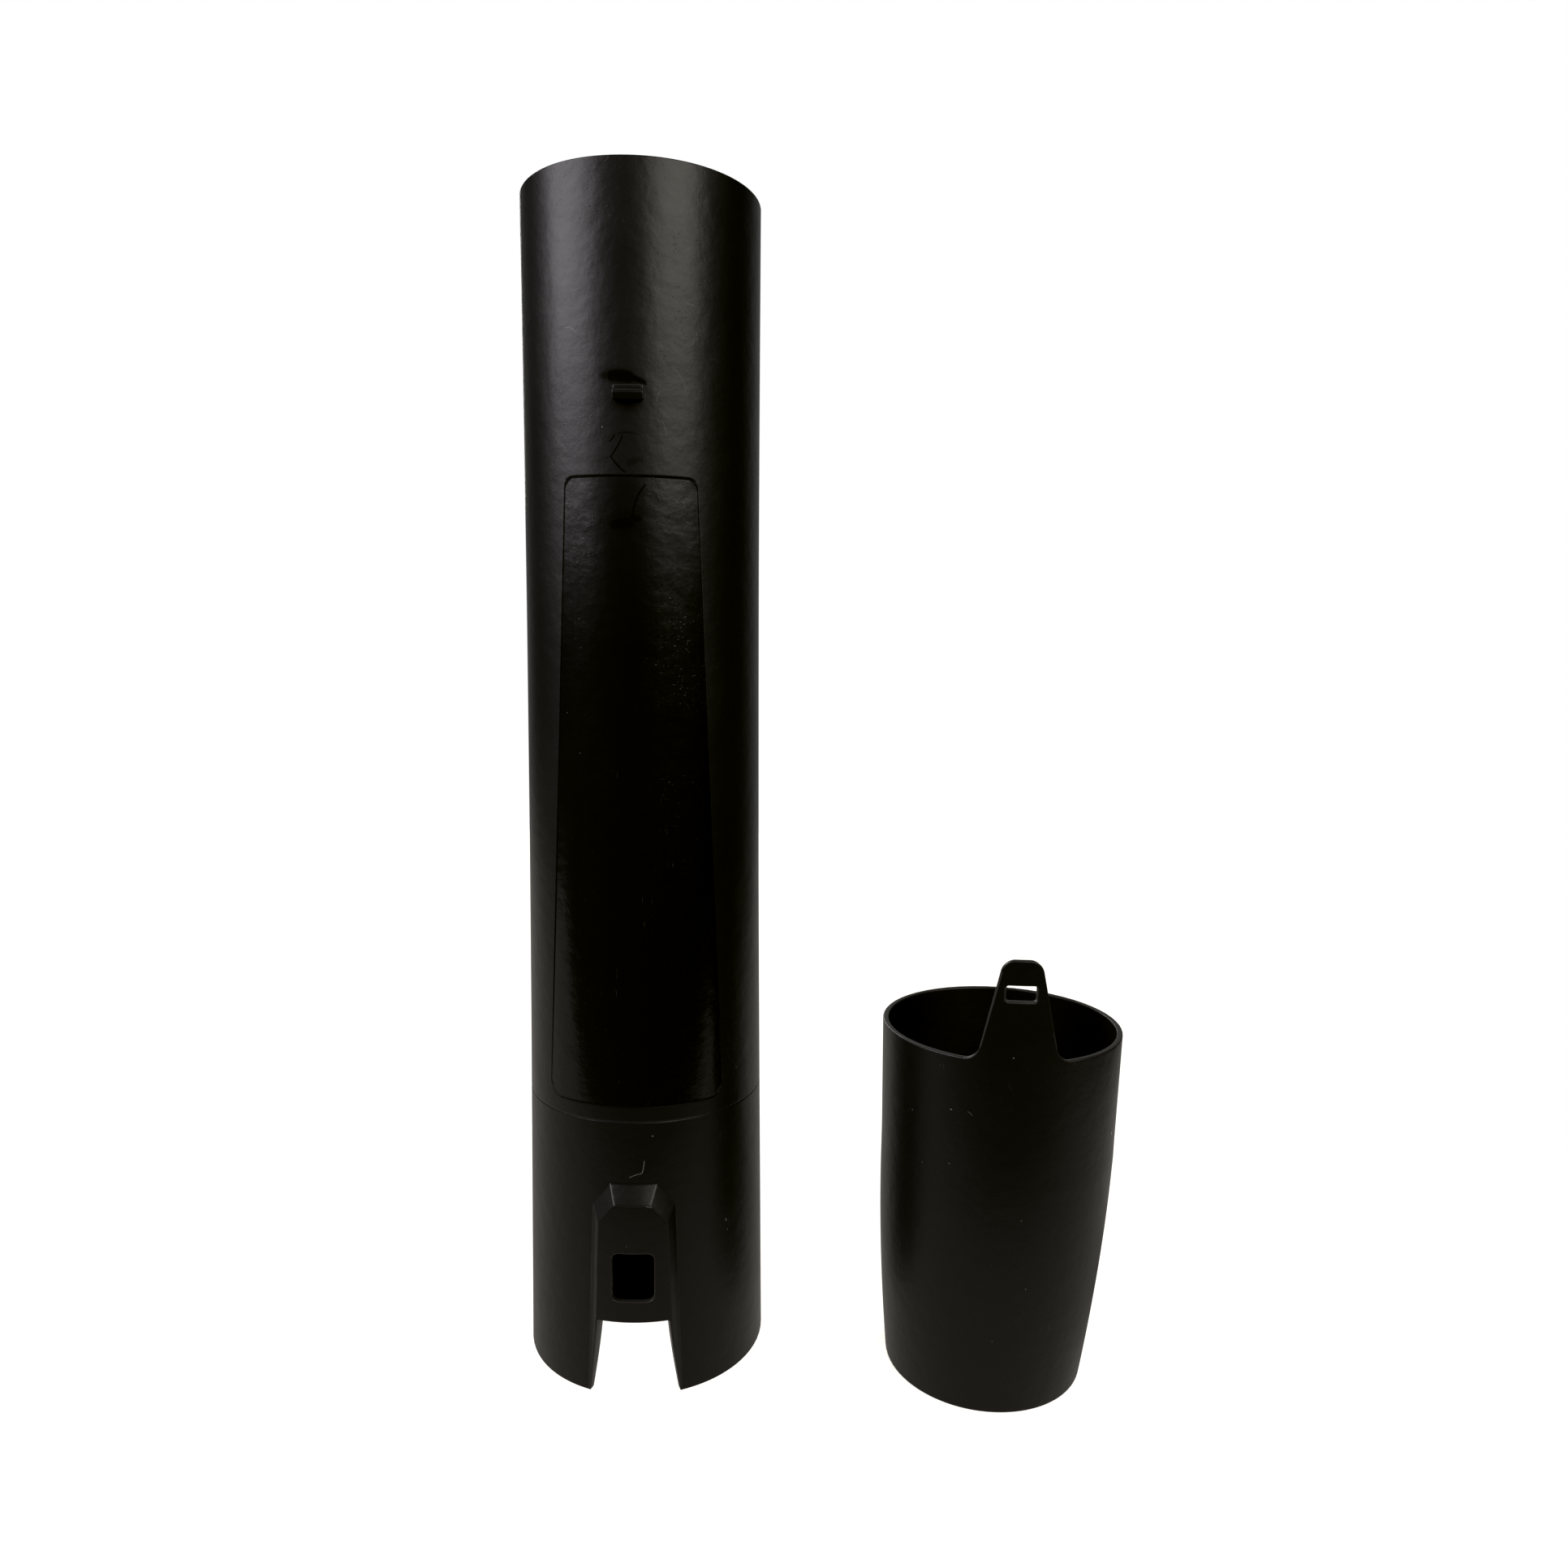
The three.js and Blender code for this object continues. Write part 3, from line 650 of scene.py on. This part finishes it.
# %% [markdown]
# ## The tube
#
# The tube is a moulded duct. Its collar tapers to a ring 110 mm up and clips over the blower, and its barrel
# bows in slightly between there and its end. A lathe could turn the duct, but not the boss, notch and label
# panel, which belong to the same wall. So each is a small change in radius, added where its outline says. s
# is the arc from the middle of the front, and h or z the height, both in millimetres.

# %% Tube shape
FOOT_R, RING_R, END_R = 48.0, 46.25, 43.4
RING_Z, TOP_MM = 110.0, TUBE_TOP / MM
WALL = 2.5
WAIST = 0.6
BOSS_RISE, BOSS_TOP = 3.8, 85.9
PANEL_LOW, PANEL_HIGH = 115.8, 341.3
NOTCH_TOP = 32.5


def tube_radius(z):
    """Straight cone up to the ring; above it a cone less a shallow parabola."""
    t = np.clip((z - RING_Z) / (TOP_MM - RING_Z), 0, 1)
    collar = FOOT_R + (RING_R - FOOT_R) * z / RING_Z
    barrel = RING_R + (END_R - RING_R) * t - WAIST * 4 * t * (1 - t)
    return np.where(z < RING_Z, collar, barrel)


def boss_foot(z):
    """Half the width of the boss where it meets the collar: a straight line, narrower upwards."""
    return 18.4 - 0.0285 * z


def boss_land(z):
    """Half the width of the boss's flat top."""
    return 14.57 - 0.0287 * z


def panel_side(z):
    """Half the width of the label panel."""
    return 37.8 - 0.0511 * (z - 120)


def across(point_a, point_b, s, z):
    """Distance outside the line from a to b, for a shape on its left going up the right-hand side."""
    (s1, z1), (s2, z2) = point_a, point_b
    length = math.hypot(s2 - s1, z2 - z1)
    return ((s - s1) * (z2 - z1) - (z - z1) * (s2 - s1)) / length


def boss_height(s, z):
    """A table mountain: three slopes climb inward from the foot's outline and meet the flat land."""
    s = np.abs(s)
    flank = (boss_foot(z) - s) / (boss_foot(z) - boss_land(z))
    bevel = -across((16.2, 77.0), (9.0, BOSS_TOP), s, z) / 6.4
    brow = (BOSS_TOP - z) / 6.8
    return BOSS_RISE * softer(soft_min(soft_min(flank, bevel, 0.03), brow, 0.03), 0.04)


def panel_outline(s, z):
    """The label panel: a tall shape with slanting sides, wider below, and rounded corners."""
    sides = (np.abs(s) - panel_side(z)) * 0.9987
    low = inside_both(sides, PANEL_LOW - z, 6.5)
    high = inside_both(sides, z - PANEL_HIGH, 3.8)
    return np.where(z < 220, low, high)


def tube_outer(a, z):
    """The duct's radius plus the boss, less the panel's shallow step and a fine groove at the ring. The step
    is deeper up the panel, and eased over a third of a millimetre at its edge."""
    s, h = a * TUBE_ARC, z / MM
    r = tube_radius(h) + boss_height(s, h)
    depth = 0.17 + 0.16 * np.clip((h - 118) / 60, 0, 1)
    r = r - depth * (1 - softer((panel_outline(s, h) + 0.3) / 0.36, 0.2))
    r = r - 0.16 * np.exp(-(((h - RING_Z) / 0.3) ** 2))
    return r * MM


def tube_inner(a, z):
    """The outside less the wall, hollowed behind the boss for the release button, with a rib at the ring."""
    s, h = a * TUBE_ARC, z / MM
    channel = inside_both(np.abs(s) - 12, h - 72, 1.5)
    pocket = (1 - softer((channel + 0.3) / 0.6, 0.2)) * BOSS_RISE
    rib = softer((h - 106.6) / 0.6, 0.2) * softer((111.4 - h) / 1.5, 0.2) * 1.4
    return (tube_radius(h) - WALL + pocket - rib) * MM


def tube_plastic_edge(a, z):
    """Plastic between foot and end, less the notch and the window."""
    s, h = a * TUBE_ARC, z / MM
    flare = 13.05 + 4.65 * np.clip((NOTCH_TOP - h) / NOTCH_TOP, 0, 1.2) ** 1.3
    notch = inside_both(np.abs(s) - flare, h - NOTCH_TOP, 0.9)
    window = inside_both(np.abs(s) - 7.6, np.abs(h - 50.5) - 9.6, 2.6)
    body = np.maximum(-h, h - TOP_MM)
    return inside_both(inside_both(body, -notch, 0.7), -window, 0.3) * MM


def tube_columns(z):
    """Azimuths of the grid's columns. They crowd at the boss's two side lines on the collar, and at the
    panel's edge on the barrel, and slide smoothly from one to the other between."""
    h = z / MM
    share = np.clip((h - 88) / 20, 0, 1)
    share = share * share * (3 - 2 * share)
    near = boss_land(h) * (1 - share) + (panel_side(h) - 0.7) * share
    far = boss_foot(h) * (1 - share) + (panel_side(h) + 0.5) * share
    beyond = far + 2.2
    back = np.full_like(h, math.pi * TUBE_ARC)
    return fan((near, 34, 1), (far, 9, 1), (beyond, 5, 1), (back, 34, 1.75)) / TUBE_ARC


def ellipse(s, z, s0, z0, ws, wz, tilt=0.0):
    """A soft spot: 1 less the distance from its middle in half widths, and 0 past its edge."""
    c, k = math.cos(tilt), math.sin(tilt)
    u, v = ((s - s0) * c + (z - z0) * k) / ws, ((z - z0) * c - (s - s0) * k) / wz
    return np.clip(1 - np.hypot(u, v), 0, 1)


def panel_mask(a, z):
    """1 on the label panel, less near its top where hands have dulled it."""
    h = z / MM
    kept = np.clip((341 - h) / 56, 0, 1)
    return (1 - softer((panel_outline(a * TUBE_ARC, h) + 0.2) / 0.4, 0.2)) * (0.4 + 0.6 * kept)


def tube_gloss(a, z):
    """Soft glossy spots round the catch, and one where a hand has touched the panel's top."""
    s, h = a * TUBE_ARC, z / MM
    halo = ellipse(s, h, -3, 373.2, 11, 3.6, -0.1) + ellipse(s, h, 0, 364.0, 8, 3.2)
    print_top = ellipse(s, h, -2, 326, 7, 5) * 0.5
    return np.clip(halo + print_top, 0, 1)


TUBE_MASKS = {"panel": panel_mask, "gloss": tube_gloss}


def tube_axis(z):
    """The tube stands upright and faces forward."""
    return TUBE_X, TUBE_Y, 0.0


# %% [markdown]
# ## Collar and barrel
#
# The rows of the grid are close together only where the shape needs them: over the boss, at the ring, and at
# the two ends of the label panel. One even grid that fine would have millions of faces. The tube is built as
# two sheets that meet at the ring, which keeps each one light.

# %% Build the tube
FILLET = 0.4
collar_heights = stops(FILLET, (89, 0.45), (RING_Z - 1.5, 1.6), (RING_Z, 0.15)) * MM
barrel_heights = stops(
    RING_Z, (RING_Z + 1.2, 0.15), (115.0, 0.9), (124.5, 0.35), (335.5, 3.4), (342.4, 0.3), (364, 2.4),
    (380, 0.8), (TOP_MM - 1.6, 3.4), (TOP_MM - FILLET, 0.4)) * MM


def tube_sheet(name, heights, **ends):
    return moulding(
        name, tube_columns(heights), heights, tube_axis, tube_outer, tube_inner, tube_plastic_edge,
        FILLET * MM, TUBE_ARC * MM, masks=TUBE_MASKS, **ends)


collar = tube_sheet("tube_collar", collar_heights, open_high=True)
barrel = tube_sheet("tube_barrel", barrel_heights, open_low=True)
for piece in (collar, barrel):
    piece.data.materials.append(tube_plastic)
    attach(piece, "tube")
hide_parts("blower_tube")

# %% [markdown]
# ## The catch
#
# A small wedge stands on the barrel below its end. Its ramp faces up, so the nozzle's tongue rides over it,
# and its hooked face looks down. It could be raised out of the barrel's own grid, as the boss is, but its
# edges are sharp and its face is undercut, which a change in radius can't be. So it is a piece of its own,
# sunk a little into the barrel.

# %% Catch
def catch(z_mid, width, height, rise):
    """The wedge's side outline, carried across its width. Each copy moves back by its offset squared over
    twice the radius, to follow the barrel's curve. A bevel then softens every edge."""
    face = tube_radius(np.array(z_mid))
    low, high = z_mid - height / 2, z_mid + height / 2
    outline = np.array([
        [face - 1.2, low + 0.3], [face, low + 0.3], [face + 0.75 * rise, low], [face + rise, low + 1.9],
        [face + rise, low + 2.5], [face + 0.45 * rise, high - 1.0], [face + 0.25 * rise, high - 0.8],
        [face + 0.3 * rise, high], [face - 1.2, high]])
    steps = np.linspace(-width / 2, width / 2, 13)
    sag = steps**2 / (2 * face)
    points = np.array([[x, -(r - g), h] for x, g in zip(steps, sag) for r, h in outline]) * MM
    k = len(outline)
    last = len(steps) - 1
    corners = [(i * k + j, i * k + (j + 1) % k) for i in range(last) for j in range(k)]
    quads = [[a, b, b + k, a + k] for a, b in corners]
    ends = [list(range(k))[::-1], list(range(last * k, last * k + k))]
    mesh = bpy.data.meshes.new("catch")
    mesh.from_pydata((points + np.array([TUBE_X, TUBE_Y, 0])).tolist(), [], quads + ends)
    for key in ("panel", "gloss", "edge", "outside"):
        point_values(mesh, key, np.full(len(points), float(key == "outside")))
    mesh.shade_smooth()
    made = bpy.data.objects.new("nozzle_catch", mesh)
    bpy.context.scene.collection.objects.link(made)
    bevel = made.modifiers.new("soften", "BEVEL")
    bevel.width, bevel.segments, bevel.limit_method = 0.16 * MM, 3, "ANGLE"
    made.modifiers.new("weights", "WEIGHTED_NORMAL")
    return made


catch_piece = catch(z_mid=TOP_MM - 74.0, width=10.4, height=4.8, rise=2.4)
catch_piece.data.materials.append(tube_plastic)
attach(catch_piece, "tube")

# %% [markdown]
# ## The nozzle
#
# The nozzle's sleeve slips over the tube's end. It is nearly straight, the taper below it is rounded, and
# the outlet is set over to one side. The tongue could be a piece of its own, but the real one is moulded
# with the rim and has no seam there. So it is the same sheet carried on above the rim, with a slot for the
# catch.

# %% Nozzle shape
RIM_MM, TIP_MM = RIM_Z / MM, TIP_Z / MM
BORE_R, RIM_OUT, ROOT_R, OUTLET_R = 43.83, 46.03, 45.23, 39.1
TAPER = 92.0
OUTLET_SHIFT = 2.0
SLOT_Z = 166.2


def nozzle_radius(z):
    """A power curve from the outlet to the sleeve, then a slight cone to the rim, with a faint swell
    between."""
    t = np.clip(z / TAPER, 0, 1)
    taper = OUTLET_R + (ROOT_R - OUTLET_R) * (1 - (1 - t) ** 1.75)
    sleeve = ROOT_R + (RIM_OUT - ROOT_R) * np.clip((z - TAPER) / (RIM_MM - TAPER), 0, 1)
    shoulder = 0.06 * np.exp(-(((z - TAPER) / 4.0) ** 2))
    return np.where(z < TAPER, taper, sleeve) + shoulder


def nozzle_outer(a, z):
    """The nozzle is round at every height."""
    return nozzle_radius(z / MM) * MM


def nozzle_inner(a, z):
    """The outside less a wall that thickens up the taper, then a step out to the sleeve's straight bore."""
    h = z / MM
    taper = nozzle_radius(h) - (2.3 + 0.6 * h / TAPER)
    return (taper + (BORE_R - taper) * softer((h - TAPER) / 0.5 + 0.5, 0.2)) * MM


def nozzle_edge(a, z):
    """Plastic below the rim or inside the tongue's outline, less the slot."""
    s, h = a * NOZZLE_ARC, z / MM
    side_line = (np.abs(s) - (9.2 + 0.222 * (SLOT_Z + 1 - h))) * 0.976
    tongue = inside_both(side_line, h - TIP_MM, 4.2)
    body = inside_either(h - RIM_MM, tongue, 4.6)
    slot = inside_both(np.abs(s) - 5.45, np.abs(h - SLOT_Z) - 2.8, 0.9)
    return inside_both(np.maximum(body, -h), -slot, 0.3) * MM


def nozzle_axis(z):
    """Upright in the sleeve; below it the middle moves over in a straight line to the outlet's."""
    lean = OUTLET_SHIFT * MM * np.maximum(0, 1 - z / (TAPER * MM))
    return NOZZLE_X - lean * math.cos(NOZZLE_TURN), NOZZLE_Y - lean * math.sin(NOZZLE_TURN), NOZZLE_TURN


# %% Build the nozzle
NOZZLE_FILLET = 0.5
nozzle_heights = stops(
    NOZZLE_FILLET, (2.2, 0.6), (RIM_MM - 51, 2.6), (RIM_MM - 47, 0.4), (RIM_MM - 4, 2.6),
    (TIP_MM - NOZZLE_FILLET, 0.45)) * MM
one = np.ones_like(nozzle_heights)
nozzle_columns = fan((one * 21, 46, 1), (one * 24, 5, 1), (one * math.pi * NOZZLE_ARC, 32, 1.6)) / NOZZLE_ARC
nozzle = moulding(
    "nozzle_and_tongue", nozzle_columns, nozzle_heights, nozzle_axis, nozzle_outer, nozzle_inner, nozzle_edge,
    NOZZLE_FILLET * MM, NOZZLE_ARC * MM)
nozzle.data.materials.append(nozzle_plastic)
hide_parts("nozzle_shell", "latch_tongue")
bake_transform(nozzle)
